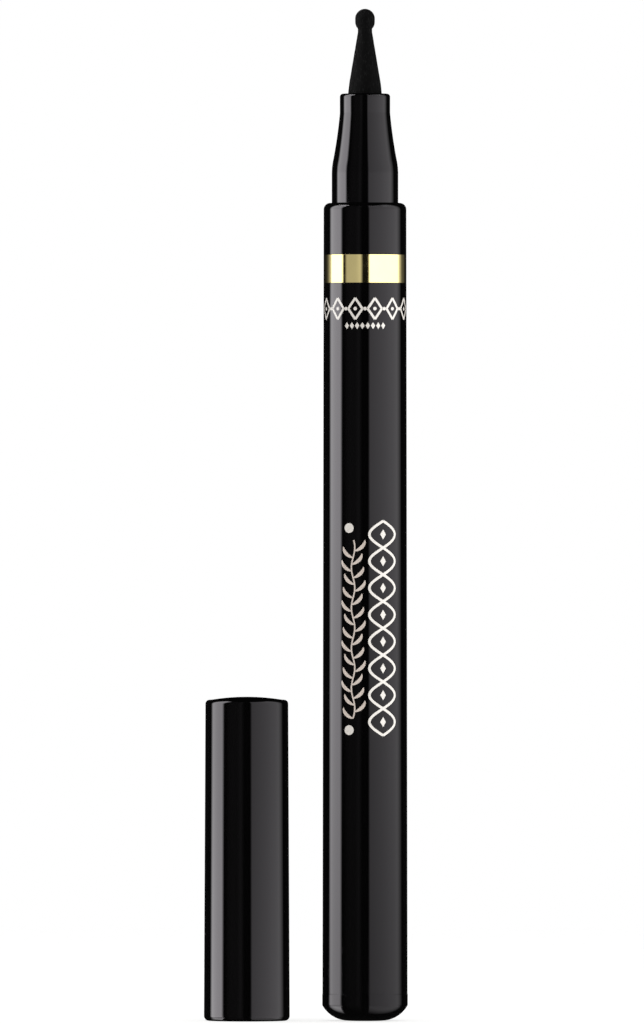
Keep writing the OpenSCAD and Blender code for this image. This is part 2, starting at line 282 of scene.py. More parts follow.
class PenSizes(bpy.types.PropertyGroup):
    """Sizes of the barrel, its gold band, its foot plug and its nose"""

    barrel_top_r: length("Barrel top radius", 5.1, "Radius of the barrel at its shoulder")
    shoulder_round: length("Shoulder rounding", 0.8, "Rounding of the barrel's shoulder")
    barrel_bore_r: length("Barrel bore", 4.1, "Radius of the bore round the reservoir")
    neck_bore_r: length("Neck bore", 3.7, "Radius of the bore that grips the nose")
    band_depth: length("Band depth", 0.05, "Thickness of the gold band in its groove")
    foot_round: length("Foot rounding", 3.7, "Radius of the foot's rounded underside")
    foot_height: length("Foot height", 1.9, "Height of the foot's rounded underside")
    plug_wall: length("Plug wall", 1.0, "Thickness of the plug's floor and spigot")
    spigot_length: length("Spigot length", 7.0, "Length of the plug's spigot")
    land_height: length("Land height", 4.4, "Height of the nose's straight land")
    land_round: length("Land rounding", 7.0, "Rounding where the land turns into the taper")
    collar_height: length("Collar height", 2.4, "Height of the collar round the nib")
    collar_r: length("Collar radius", 3.1, "Radius of the collar round the nib")
    collar_round: length("Collar rounding", 0.4, "Rounding of the collar's upper edge")
    nose_bore_r: length("Nose bore", 2.5, "Radius of the bore that holds the nib holder")
    seam_round: length("Seam rounding", 0.03, "Rounding of the edges where two pieces meet")


class NibSizes(bpy.types.PropertyGroup):
    """Sizes of the felt nib"""

    root_r: length("Root radius", 2.1, "Radius where the nib leaves the nose")
    root_height: length("Root height", 1.2, "Height of the nearly straight root")
    root_fall: length("Root fall", 0.125, "How much the radius falls over the root")
    neck_r: length("Neck radius", 0.9, "Radius of the neck under the ball")
    neck_drop: length("Neck drop", 2.9, "Distance of the neck below the tip")
    ball_r: length("Ball radius", 1.23, "Radius of the ball")
    ball_middle: length("Ball middle", 0.4, "Height of the ball's straight middle")
    body_length: length("Body length", 5.0, "Length of the nib inside the nose")
    tail_r: length("Tail radius", 1.3, "Radius of the tail in the reservoir")
    fibre_depth: length("Fibre depth", 0.035, "Depth of the hollows between the fibres")


class CapSizes(bpy.types.PropertyGroup):
    """Sizes of the cap and its liner"""

    top_r: length("Closed end radius", 5.11, "Radius of the cap under its closed end")
    rim_round: length("Mouth rounding", 0.6, "Rounding of the mouth's outer edge")
    edge_round: length("Edge rounding", 0.5, "Rounding of the closed end's edge")
    dome_height: length("Dome height", 0.40, "Rise of the closed end above its edge")
    end_wall: length("End wall", 1.6, "Thickness of the closed end")
    bore_r: length("Mouth bore", 4.12, "Radius of the bore that slides over the nose")
    bore_depth: length("Mouth bore depth", 6.8, "Depth of that bore")
    seat_r: length("Seat bore", 3.82, "Radius of the bore that grips the liner")
    liner_body_r: length("Liner radius", 3.72, "Radius of the liner's upper body")
    liner_bore_r: length("Liner bore", 3.12, "Radius of the chamber round the nib")
    liner_collar: length("Liner collar", 5.0, "Height of the liner's collar")
    rib_count: IntProperty(name="Ribs", default=6, min=3, max=8,
                           description="Number of ribs that hold the liner down")


class PrintSizes(bpy.types.PropertyGroup):
    """Sizes of the ornament printed on the barrel's front"""

    proud: length("Print height", 0.012, "How far the printed ink stands out")
    bold_line: length("Bold line", 0.32, "Width of the chain's lines")
    fine_line: length("Fine line", 0.24, "Width of the fine lines")
    dot_r: length("Dot radius", 0.6, "Radius of the two large dots")


class Finishes(bpy.types.PropertyGroup):
    """Colours of the finishes"""

    plastic: colour("Black plastic", (0.0009, 0.00085, 0.0009), "Polished black moulding")
    shine: FloatProperty(name="Shine", default=0.5, min=0.0, max=1.0,
                         description="How much the plastic mirrors")
    gold: colour("Gold foil", (0.94, 0.79, 0.36), "Bright gold hot foil")
    cream: colour("Cream print", (0.67, 0.635, 0.585), "Cream ink of the printed ornament")
    beige: colour("Beige print", (0.58, 0.50, 0.44), "Warmer ink of the printed sprig")
    felt: colour("Felt", (0.0045, 0.0044, 0.0045), "Bonded fibre soaked with ink")
    liner: colour("Liner", (0.82, 0.82, 0.78), "Satin natural moulding")
    ink: colour("Inked fibre", (0.02, 0.02, 0.023), "Fibre wadding soaked with ink")
    film: colour("Film", (0.8, 0.84, 0.88), "Thin clear film")
    floor: colour("Floor", (0.95, 0.95, 0.945), "Plain pale floor")


class Studio(bpy.types.PropertyGroup):
    """Strengths and sizes of the studio light, and the camera's distance"""

    left_light: brightness("Left light", 5.5, "tall light on the left")
    right_light: brightness("Right light", 1.62, "broad light on the right")
    front_board: brightness("Front board", 0.13, "grey board in front")
    gold_light: brightness("Gold light", 2.5, "two lights that only the gold and the print see")
    gold_board: brightness("Gold board", 0.56, "board in front that only the gold and the print see")
    sky_light: brightness("Sky light", 1.2, "broad light over the floor, which only it sees")
    fill: brightness("Fill", 0.008, "room round the object")
    light_distance: length("Light distance", 1000.0, "Distance of the lights from the pen")
    camera_distance: length("Camera distance", 2500.0, "Distance of the camera from the pen")


PROPERTIES = {
    "pen_sizes": PenSizes,
    "nib_sizes": NibSizes,
    "cap_sizes": CapSizes,
    "print_sizes": PrintSizes,
    "finishes": Finishes,
    "studio": Studio,
}


# Outlines and turned pieces

def rounded_outline(corners):
    """Points of a closed outline. A corner is (radius, height, rounding), and each rounding is an arc."""
    spots = [Vector(c[:2]) for c in corners]
    count = len(corners)
    reach = []
    for i, corner in enumerate(corners):
        back = (spots[i - 1] - spots[i]).normalized()
        ahead = (spots[(i + 1) % count] - spots[i]).normalized()
        turn = math.pi - back.angle(ahead)
        reach.append((back, ahead, turn, corner[2] * math.tan(turn / 2)))
    points = []
    for i, (back, ahead, turn, cut) in enumerate(reach):
        spot, rounding = spots[i], corners[i][2]
        if cut < NO_LENGTH:
            points.append(spot)
            continue
        room_back = (spots[i - 1] - spot).length - cut - reach[i - 1][3]
        room_ahead = (spots[(i + 1) % count] - spot).length - cut - reach[(i + 1) % count][3]
        if room_back > EASE_ROOM:
            points.append(spot + back * (cut + EASE))
        centre = spot + (back + ahead).normalized() * rounding / math.cos(turn / 2)
        start = spot + back * cut - centre
        side = 1 if back.x * ahead.y - back.y * ahead.x < 0 else -1
        steps = max(2, math.ceil(turn / ARC_STEP))
        for k in range(steps + 1):
            angle = side * turn * k / steps
            points.append(centre + Vector((
                start.x * math.cos(angle) - start.y * math.sin(angle),
                start.x * math.sin(angle) + start.y * math.cos(angle),
            )))
        if room_ahead > EASE_ROOM:
            points.append(spot + ahead * (cut + EASE))
    return points


def arc_points(centre, radius, start, end):
    """Points of an arc from one angle to another, both in radians."""
    steps = max(2, math.ceil(abs(end - start) / ARC_STEP))
    angles = [start + (end - start) * k / steps for k in range(steps + 1)]
    return [Vector((centre[0] + radius * math.cos(a), centre[1] + radius * math.sin(a))) for a in angles]


def turn_outline(outline, centre_x=0.0, sides=SIDES):
    """A mesh turned from a closed outline of (radius, height) points about a vertical axis."""
    bm = bmesh.new()
    turns = [2 * math.pi * k / sides for k in range(sides)]
    rings = []
    for r, z in outline:
        spots = [(centre_x + r * math.sin(a), -r * math.cos(a), z) for a in turns]
        if r < NO_LENGTH:
            spots = [(centre_x, 0.0, z)]
        rings.append([bm.verts.new(spot) for spot in spots])
    for low, high in zip(rings, rings[1:] + rings[:1]):
        for k in range(sides):
            after = (k + 1) % sides
            corners = [low[k % len(low)], low[after % len(low)],
                       high[after % len(high)], high[k % len(high)]]
            face = list(dict.fromkeys(corners))
            if len(face) > 2:
                bm.faces.new(face)
    return bm


def add_blades(bm, count, r_in, r_out, z_low, z_high, centre_x=0.0):
    """Adds flat upright ribs that stand round the axis at even angles."""
    for angle in (2 * math.pi * k / count for k in range(count)):
        out = Vector((math.sin(angle), -math.cos(angle), 0.0))
        side = Vector((math.cos(angle), math.sin(angle), 0.0)) * RIB_WIDTH / 2
        base = Vector((centre_x, 0.0, 0.0))
        ring = [base + out * r_in - side, base + out * r_out - side,
                base + out * r_out + side, base + out * r_in + side]
        low, high = ([bm.verts.new((*p.xy, z)) for p in ring] for z in (z_low, z_high))
        bm.faces.new(low[::-1])
        bm.faces.new(high)
        for k in range(4):
            bm.faces.new([low[k], low[(k + 1) % 4], high[(k + 1) % 4], high[k]])


def make_object(bm, name, material):
    """Makes an object of a mesh, with a material."""
    mesh = bpy.data.meshes.new(name)
    bm.to_mesh(mesh)
    bm.free()
    mesh.materials.append(material)
    made = bpy.data.objects.new(name, mesh)
    bpy.context.scene.collection.objects.link(made)
    return made


def finish_piece(bm, name, material, body, slot, *nodes):
    """Makes a smooth-shaded piece of the mesh, which rides on a body and stands for solids.

    Pieces don't mirror each other, because pen and cap are lit apart in the photograph.
    """
    bmesh.ops.recalc_face_normals(bm, faces=bm.faces)
    for face in bm.faces:
        face.smooth = True
    for edge in bm.edges:
        if edge.calc_face_angle(0.0) > SHARP_ANGLE:
            edge.smooth = False
    piece = make_object(bm, name, material)
    piece.visible_glossy = False
    group = "bright" if slot in (GOLD_SLOT, PRINT_SLOT) else body
    bpy.data.collections[LIT + group].objects.link(piece)
    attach(piece, body)
    if nodes:
        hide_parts(*nodes)


# Nodes and finishes

def feed(tree, node, **inputs):
    """Feeds a node's inputs. Each gets a number, a colour or the socket that feeds it.

    Its key is its name, with _ for a space, or i_ and its place.
    """
    for key, value in inputs.items():
        socket = node.inputs[int(key[2:]) if key.startswith("i_") else key.replace("_", " ")]
        if isinstance(value, bpy.types.NodeSocket):
            tree.links.new(value, socket)
        else:
            socket.default_value = value


def add_node(tree, kind, settings=None, out=0, **inputs):
    """Adds a shader node, feeds it and gives one of its outputs."""
    node = tree.nodes.new("ShaderNode" + kind)
    for key, value in (settings or {}).items():
        setattr(node, key, value)
    feed(tree, node, **inputs)
    return node.outputs[out] if node.outputs else None


def empty_tree(owner):
    """The node tree of a material or of the world, without its nodes."""
    owner.use_nodes = True
    owner.node_tree.nodes.clear()
    return owner.node_tree


def split(tree, vector):
    """The parts of a vector, by the names of their axes."""
    node = tree.nodes.new("ShaderNodeSeparateXYZ")
    feed(tree, node, Vector=vector)
    return node.outputs


def new_finish(name, **inputs):
    """A material with its surface shader, whose inputs it feeds, and the place on the object."""
    material = bpy.data.materials.new(name)
    tree = empty_tree(material)
    shader = tree.nodes.new("ShaderNodeBsdfPrincipled")
    feed(tree, shader, **inputs)
    add_node(tree, "OutputMaterial", Surface=shader.outputs["BSDF"])
    return material, tree, shader, add_node(tree, "TexCoord", out="Object")


def speckle(tree, place, scale, detail=3.0, stretch=(1.0, 1.0, 1.0), rough=0.5):
    """A noise value on the surface, with an optional stretch along each axis."""
    spread = add_node(tree, "Mapping", Vector=place, Scale=stretch)
    return add_node(tree, "TexNoise", out="Fac", Vector=spread,
                    Scale=scale, Detail=detail, Roughness=rough)


def fit_range(tree, value, low, high, to_low, to_high, smooth=False):
    """Maps a value from one range to another, held at both ends."""
    style = {"interpolation_type": "SMOOTHSTEP" if smooth else "LINEAR", "clamp": True}
    return add_node(tree, "MapRange", style,
                    Value=value, From_Min=low, From_Max=high, To_Min=to_low, To_Max=to_high)


def vary(tree, value, to_low, to_high):
    """Spreads a noise value over a range."""
    return fit_range(tree, value, *NOISE_RANGE, to_low, to_high)


def calculate(tree, operation, first, second):
    """One step of arithmetic on two values."""
    return add_node(tree, "Math", {"operation": operation}, i_0=first, i_1=second)


def add_share(tree, base, share, value):
    """A value with a share of another added to it."""
    return calculate(tree, "ADD", base, calculate(tree, "MULTIPLY", value, share))


def blend_colours(tree, share, first, second):
    """A colour between two others."""
    first, second = (c if isinstance(c, bpy.types.NodeSocket) else (*c, 1.0) for c in (first, second))
    return add_node(tree, "Mix", {"data_type": "RGBA"}, out=2, i_0=share, i_6=first, i_7=second)


def lay_finish(tree, shader, tint, dull, *bumps):
    """Feeds a shader its colour, its roughness and its bumps. A bump is (height value, strength, depth)."""
    under = {}
    for height, strength, depth in bumps:
        normal = add_node(tree, "Bump", Height=height, Strength=strength, Distance=depth, **under)
        under = {"Normal": normal}
    feed(tree, shader, Base_Color=tint, Roughness=dull, **under)


def lighter(tint, factor):
    """A colour made lighter or darker by a factor."""
    return tuple(min(1.0, c * factor) for c in tint)


def polished_black(name, finishes, rub_low, rub_height):
    """Black plastic with polished sides and matt end faces.

    It is a little duller near its foot, where hands and trays rub it.
    """
    material, tree, shader, place = new_finish(name, Specular_Tint=(1.0, 0.95, 1.01, 1.0))
    tint = finishes.plastic[:]
    upward = split(tree, add_node(tree, "NewGeometry", out="Normal"))["Z"]
    mirror = fit_range(tree, upward, *END_TILTS, finishes.shine, 0.0, True)
    feed(tree, shader, Specular_IOR_Level=mirror)
    haze = speckle(tree, place, 90.0, 4.0)
    cloud = speckle(tree, place, 420.0, 2.0)
    peel = speckle(tree, place, 1500.0, 1.0)
    drawn = speckle(tree, place, 1.0, 2.0, (5200.0, 5200.0, 130.0), 0.7)
    hairline = fit_range(tree, drawn, 0.66, 0.74, 0.0, 1.0)
    rubbed = fit_range(tree, split(tree, place)["Z"], rub_low, rub_low + rub_height, 1.0, 0.0, True)
    rubbed = calculate(tree, "MULTIPLY", rubbed, fit_range(tree, cloud, 0.35, 0.75, 0.2, 1.0))
    dull = add_share(tree, vary(tree, haze, 0.025, 0.055), 0.10, hairline)
    lay_finish(tree, shader, blend_colours(tree, haze, tint, lighter(tint, 1.7)),
               add_share(tree, dull, 0.09, rubbed), (peel, 0.02, 0.004 * MM), (hairline, 0.04, 0.002 * MM))
    return material


def gold_foil(name, tint):
    """Hot foil: bright metal with a soft haze, fine drag lines and a few pinholes."""
    material, tree, shader, place = new_finish(name, Metallic=1.0)
    haze = speckle(tree, place, 700.0, 3.0)
    drag = speckle(tree, place, 1.0, 2.0, (900.0, 900.0, 14000.0), 0.6)
    pinhole = fit_range(tree, speckle(tree, place, 5200.0, 1.0), 0.80, 0.84, 0.0, 1.0)
    metal = blend_colours(tree, haze, lighter(tint, 0.93), lighter(tint, 1.05))
    lay_finish(tree, shader, blend_colours(tree, pinhole, metal, lighter(tint, 0.05)),
               add_share(tree, vary(tree, haze, 0.05, 0.10), 0.3, pinhole),
               (drag, 0.03, 0.002 * MM), (pinhole, 0.05, 0.003 * MM))
    return material


def cream_print(name, tint):
    """Cream screen-printed ink: nearly even, with a fine weave of the screen and a soft gloss over it."""
    material, tree, shader, place = new_finish(name, Specular_IOR_Level=1.0, IOR=1.6)
    cloud = speckle(tree, place, 1300.0, 3.0)
    grain = speckle(tree, place, 9000.0, 2.0)
    lay_finish(tree, shader, blend_colours(tree, cloud, lighter(tint, 0.92), lighter(tint, 1.06)),
               vary(tree, grain, 0.12, 0.20), (grain, 0.05, 0.003 * MM))
    return material


def black_felt(name, tint):
    """Bonded fibre soaked with ink: matte, with lengthwise fibres and a few lighter strands."""
    material, tree, shader, place = new_finish(name, Specular_IOR_Level=0.08, Sheen_Weight=0.006,
                                               Sheen_Roughness=0.5)
    fibre = speckle(tree, place, 1.0, 3.0, (9000.0, 9000.0, 1500.0), 0.6)
    clump = speckle(tree, place, 2600.0, 3.0)
    strand = fit_range(tree, fibre, 0.56, 0.72, 0.0, 1.0)
    base = blend_colours(tree, clump, lighter(tint, 0.55), lighter(tint, 1.5))
    lay_finish(tree, shader, blend_colours(tree, strand, base, lighter(tint, 5.0)),
               vary(tree, clump, 0.78, 1.0), (fibre, 0.7, 0.02 * MM), (clump, 0.5, 0.02 * MM))
    return material


def satin_white(name, tint):
    """Natural satin moulding, slightly cloudy."""
    material, tree, shader, place = new_finish(name, Subsurface_Weight=0.12,
                                               Subsurface_Radius=(0.0011, 0.001, 0.0009))
    cloud = speckle(tree, place, 260.0, 4.0)
    grain = speckle(tree, place, 5200.0, 2.0)
    lay_finish(tree, shader, blend_colours(tree, cloud, lighter(tint, 0.94), lighter(tint, 1.03)),
               vary(tree, grain, 0.32, 0.46), (grain, 0.12, 0.004 * MM))
    return material


def inked_fibre(name, tint):
    """Fibre wadding soaked with ink, with lengthwise strands."""
    material, tree, shader, place = new_finish(name)
    strand = speckle(tree, place, 1.0, 3.0, (7000.0, 7000.0, 240.0), 0.65)
    soak = speckle(tree, place, 130.0, 3.0)
    wet = blend_colours(tree, soak, lighter(tint, 0.6), lighter(tint, 1.3))
    lay_finish(tree, shader, blend_colours(tree, strand, wet, lighter(tint, 2.2)),
               vary(tree, soak, 0.55, 0.85), (strand, 0.8, 0.03 * MM))
    return material


def clear_film(name, tint):
    """Thin clear film with faint wrinkles."""
    material, tree, shader, place = new_finish(name, Alpha=0.4)
    wrinkle = speckle(tree, place, 1.0, 2.0, (500.0, 500.0, 160.0))
    lay_finish(tree, shader, blend_colours(tree, wrinkle, lighter(tint, 0.9), tint),
               vary(tree, wrinkle, 0.04, 0.14), (wrinkle, 0.3, 0.02 * MM))
    return material


# Shapes that several pieces share

def barrel_r(sizes, z):
    """Outer radius of the barrel at a height."""
    draft = BARREL_HIGH.x - sizes.barrel_top_r
    return sizes.barrel_top_r + draft * (BARREL_HIGH.z - z) / (BARREL_HIGH.z - BARREL_LOW.z)


def taper_point(sizes, t):
    """Point of the nose's taper at a share of the way from the collar down to the land."""
    drop = EVEN_SHARE * t + (1 - EVEN_SHARE) * t * t
    top = NOSE_HIGH.z - sizes.collar_height
    foot = BARREL_HIGH.z + sizes.land_height
    return sizes.collar_r + (NOSE_HIGH.x - sizes.collar_r) * drop, top + (foot - top) * t


class EYELINER_OT_barrel(bpy.types.Operator):
    """Turns the barrel, with its rounded shoulder, its groove for the band and its bore"""

    bl_idname = "eyeliner.turn_barrel"
    bl_label = "Turn the barrel"

    def execute(self, context):
        s = context.scene.pen_sizes
        low, high = BARREL_LOW.z, BARREL_HIGH.z
        band_low, band_high = BAND_LOW.z, BAND_HIGH.z
        groove = s.band_depth + SNUG_GAP
        neck_z = HOLDER_LOW.z - SEAT_GAP
        bm = turn_outline(rounded_outline([
            (s.barrel_bore_r, low, s.seam_round),
            (barrel_r(s, low), low, s.seam_round),
            (barrel_r(s, band_low), band_low, GROOVE_ROUND),
            (barrel_r(s, band_low) - groove, band_low, 0.0),
            (barrel_r(s, band_high) - groove, band_high, 0.0),
            (barrel_r(s, band_high), band_high, GROOVE_ROUND),
            (s.barrel_top_r, high, s.shoulder_round),
            (s.neck_bore_r, high, s.seam_round),
            (s.neck_bore_r, neck_z, 0.0),
            (s.barrel_bore_r, neck_z, 0.0),
        ]))
        add_blades(bm, RIB_COUNT, s.barrel_bore_r - RIB_HEIGHT, s.barrel_bore_r + BITE,
                   low + s.spigot_length + RIB_LEAD, neck_z + BITE)
        black = polished_black("polished_black_barrel", context.scene.finishes, low, BARREL_RUB)
        finish_piece(bm, "barrel_tube", black, "pen", "black_gloss", "barrel")
        return {"FINISHED"}


class EYELINER_OT_gold_band(bpy.types.Operator):
    """Fits the gold band in its groove round the barrel"""

    bl_idname = "eyeliner.fit_gold_band"
    bl_label = "Fit the gold band"

    def execute(self, context):
        s = context.scene.pen_sizes
        low, high = BAND_LOW.z + SNUG_GAP, BAND_HIGH.z - SNUG_GAP
        outline = rounded_outline([
            (barrel_r(s, low) - s.band_depth, low, 0.0),
            (barrel_r(s, low), low, FOIL_ROUND),
            (barrel_r(s, high), high, FOIL_ROUND),
            (barrel_r(s, high) - s.band_depth, high, 0.0),
        ])
        gold = gold_foil("gold_foil_band", context.scene.finishes.gold[:])
        finish_piece(turn_outline(outline, sides=2 * SIDES), "gold_band", gold, "pen", GOLD_SLOT, "foil_band")
        return {"FINISHED"}


class EYELINER_OT_foot_plug(bpy.types.Operator):
    """Turns the domed plug that closes the barrel's lower end"""

    bl_idname = "eyeliner.turn_foot_plug"
    bl_label = "Turn the foot plug"

    def execute(self, context):
        s = context.scene.pen_sizes
        rim_r, rim_top = PLUG_HIGH.x, BARREL_LOW.z
        spigot_r = s.barrel_bore_r - SPIGOT_STEP
        spigot_top = rim_top + s.spigot_length
        hollow_r = spigot_r - s.plug_wall
        rise = math.asin((s.foot_round - s.foot_height) / s.foot_round)
        flat_r = rim_r - s.foot_round * math.cos(rise)
        foot = arc_points((flat_r, s.foot_round), s.foot_round, -math.pi / 2, -rise)
        bm = turn_outline(rounded_outline([
            (0.0, 0.0, 0.0),
            *((*point, 0.0) for point in foot[:-1]),
            (rim_r, s.foot_height, RIM_ROUND),
            (rim_r, rim_top, s.seam_round),
            (spigot_r, rim_top, 0.0),
            (spigot_r, spigot_top, LEAD_ROUND),
            (hollow_r, spigot_top, MOUTH_ROUND),
            (hollow_r, s.foot_height, LEAD_ROUND),
            (0.0, s.foot_height - FLOOR_DISH, 0.0),
        ]))
        wide_top = spigot_top - BLADE_DROP
        add_blades(bm, BLADE_COUNT, -BLADE_PAST, hollow_r + BLADE_BITE, s.plug_wall, wide_top)
        add_blades(bm, BLADE_COUNT, -BLADE_PAST, hollow_r, wide_top - BLADE_LAP, PLUG_HIGH.z)
        black = polished_black("polished_black_plug", context.scene.finishes, 0.0, PLUG_RUB)
        finish_piece(bm, "foot_plug", black, "pen", "black_gloss", "end_plug")
        return {"FINISHED"}


class EYELINER_OT_nose(bpy.types.Operator):
    """Turns the tapered nose that the cap slides over"""

    bl_idname = "eyeliner.turn_nose"
    bl_label = "Turn the nose"

    def execute(self, context):
        s = context.scene.pen_sizes
        n = context.scene.nib_sizes
        shoulder, top = BARREL_HIGH.z, NOSE_HIGH.z
        spigot_r = s.neck_bore_r - SNUG_GAP
        bore_top = top - n.body_length
        hole_r = n.root_r + FELT_GAP
        taper = [taper_point(s, k / NOSE_STEPS) for k in range(NOSE_STEPS + 1)]
        # The point next to the land is left out, because the land's rounding takes up its place
        bm = turn_outline(rounded_outline([
            (s.nose_bore_r, NOSE_LOW.z, MOUTH_ROUND),
            (spigot_r, NOSE_LOW.z, LEAD_ROUND),
            (spigot_r, shoulder, 0.0),
            (NOSE_HIGH.x, shoulder, s.seam_round),
            (*taper[-1], s.land_round),
            *((*point, 0.0) for point in taper[-3:0:-1]),
            (*taper[0], COLLAR_FOOT_ROUND),
            (s.collar_r, top, s.collar_round),
            (hole_r, top, HOLE_ROUND),
            (hole_r, bore_top, 0.0),
            (s.nose_bore_r, bore_top, 0.0),
        ]))
        black = polished_black("polished_black_nose", context.scene.finishes, shoulder, NOSE_RUB)
        finish_piece(bm, "nose_cone", black, "pen", "black_gloss", "nose_section")
        return {"FINISHED"}


def divide(points):
    """Divides each stretch of a line into steps of about the same length."""
    made = [points[0]]
    for start, end in zip(points, points[1:]):
        parts = max(1, round((end - start).length / FELT_STEP))
        made += [start.lerp(end, (k + 1) / parts) for k in range(parts)]
    return made


def hollow(spot, depth, ball_z):
    """How far a point of the felt sinks in: lengthwise fibres on the cone, pits on the ball."""
    share = EVEN_DEPTH
    for width, reach, part in HOLLOWS:
        share += part * noise.noise(Vector((spot.x / width, spot.y / width, spot.z / reach)))
    inward = Vector((spot.x, spot.y, max(0.0, spot.z - ball_z)))
    return inward.normalized() * max(0.0, depth * share)


class EYELINER_OT_felt_nib(bpy.types.Operator):
    """Shapes the felt nib: a cone with a neck and a ball, with hollows between its fibres"""

    bl_idname = "eyeliner.shape_felt_nib"
    bl_label = "Shape the felt nib"

    def execute(self, context):
        n = context.scene.nib_sizes
        tip, root = NIB_HIGH.z, NOSE_HIGH.z
        ball_z = tip - n.ball_r - n.ball_middle
        meet = -math.acos(n.neck_r / n.ball_r)
        cone = divide([
            Vector((n.root_r, root)),
            Vector((n.root_r - n.root_fall, root + n.root_height)),
            Vector((n.neck_r, tip - n.neck_drop)),
            Vector((n.neck_r, ball_z + n.ball_r * math.sin(meet))),
        ])
        middle = divide([Vector((n.ball_r, ball_z)), Vector((n.ball_r, ball_z + n.ball_middle))])
        ball = arc_points((0.0, ball_z), n.ball_r, meet, 0.0) + middle[1:]
        ball += arc_points((0.0, ball_z + n.ball_middle), n.ball_r, 0.0, math.pi / 2)[1:]
        felt = divide(cone[:-1] + ball)
        felt[-1].x = 0.0
        tail = [
            Vector((0.0, NIB_LOW.z)),
            Vector((n.tail_r * TAIL_TIP_SHARE, NIB_LOW.z)),
            Vector((n.tail_r, NIB_LOW.z + TAIL_POINT)),
            Vector((n.tail_r, root - n.body_length)),
            Vector((n.root_r, root - n.body_length)),
        ]
        bm = turn_outline(tail + felt, sides=FELT_SIDES)
        for v in bm.verts:
            if v.co.z > root - FELT_STEP:
                v.co -= hollow(v.co, n.fibre_depth, ball_z)
        felt_black = black_felt("black_felt", context.scene.finishes.felt[:])
        finish_piece(bm, "felt_nib", felt_black, "pen", "black_felt", "nib")
        return {"FINISHED"}


class EYELINER_OT_cap(bpy.types.Operator):
    """Turns the cap, with its rounded mouth, its bores, its ribs and its domed closed end"""

    bl_idname = "eyeliner.turn_cap"
    bl_label = "Turn the cap"

    def execute(self, context):
        c = context.scene.cap_sizes
        height = CAP_HIGH.z
        dome_half = c.top_r - c.edge_round
        dome_r = (dome_half ** 2 + c.dome_height ** 2) / (2 * c.dome_height)
        lean = math.asin(dome_half / dome_r)
        tilts = [lean * (1 - k / DOME_STEPS) for k in range(1, DOME_STEPS)]
        ceiling = height - c.end_wall
        bm = turn_outline(rounded_outline([
            (c.bore_r + MOUTH_CUT, 0.0, MOUTH_ROUND),
            (CAP_HIGH.x - CAP_X, 0.0, c.rim_round),
            (c.top_r, height - c.dome_height, c.edge_round),
            *((dome_r * math.sin(a), height - dome_r * (1 - math.cos(a)), 0.0) for a in tilts),
            (0.0, height, 0.0),
            (0.0, ceiling, 0.0),
            (c.seat_r, ceiling, CEILING_ROUND),
            (c.seat_r, c.bore_depth, STEP_ROUND),
            (c.bore_r, c.bore_depth, STEP_ROUND),
            (c.bore_r, MOUTH_CUT, MOUTH_ROUND),
        ]), CAP_X)
        add_blades(bm, c.rib_count, c.seat_r - CAP_RIB_REACH, c.seat_r + BITE,
                   LINER_HIGH.z, ceiling + BITE, CAP_X)
        black = polished_black("polished_black_cap", context.scene.finishes, 0.0, CAP_RUB)
        finish_piece(bm, "cap_body", black, "cap", "black_gloss", "cap_shell")
        return {"FINISHED"}


class EYELINER_OT_cap_liner(bpy.types.Operator):
    """Turns the liner that seals the nib in the cap"""

    bl_idname = "eyeliner.turn_cap_liner"
    bl_label = "Turn the cap liner"

    def execute(self, context):
        s = context.scene.pen_sizes
        c = context.scene.cap_sizes
        low, top = LINER_LOW.z, LINER_HIGH.z
        grip_r = c.seat_r - SNUG_GAP
        collar_foot = NOSE_HIGH.z - s.collar_height - BARREL_HIGH.z
        seal_z = collar_foot + TAPER_GAP
        chamber = top - LINER_END
        mouth_r, _ = taper_point(s, (collar_foot - low) / (collar_foot - s.land_height))
        taper = [taper_point(s, k / LINER_STEPS) for k in range(LINER_STEPS + 1)]
        funnel = [(r + TAPER_GAP, z - BARREL_HIGH.z) for r, z in taper]
        bm = turn_outline(rounded_outline([
            (mouth_r + TAPER_GAP, low, STEP_ROUND),
            (grip_r, low, LINER_FOOT_ROUND),
            (grip_r, low + c.liner_collar, LINER_STEP_ROUND),
            (c.liner_body_r, low + c.liner_collar, LINER_BODY_ROUND),
            (c.liner_body_r, top, LEAD_ROUND),
            (0.0, top, 0.0),
            (0.0, chamber, 0.0),
            (c.liner_bore_r, chamber, CHAMBER_ROUND),
            (c.liner_bore_r, seal_z, 0.0),
            (s.collar_r + TAPER_GAP, seal_z, 0.0),
            *((r, z, 0.0) for r, z in funnel if z > low + LINER_LEAST),
        ]), CAP_X)
        white = satin_white("satin_white_liner", context.scene.finishes.liner[:])
        finish_piece(bm, "cap_liner", white, "cap", "white_liner", "inner_cap")
        return {"FINISHED"}


# Printed ornament

def pixel_height(row):
    """Height of what shows at a pixel's row."""
    return (FLOOR_PIXEL - row) * PIXEL


def pixel_across(sizes, column, z):
    """Distance round the barrel from its front middle to what shows at a pixel's column."""
    r = barrel_r(sizes, z)
    return r * math.asin((column - AXIS_PIXEL) * PIXEL / r)


def on_barrel(sizes, spot, out):
    """A point on the barrel's front for a (distance round, height) point, out from its skin."""
    r = barrel_r(sizes, spot.y)
    angle = spot.x / r
    return Vector(((r + out) * math.sin(angle), -(r + out) * math.cos(angle), spot.y))


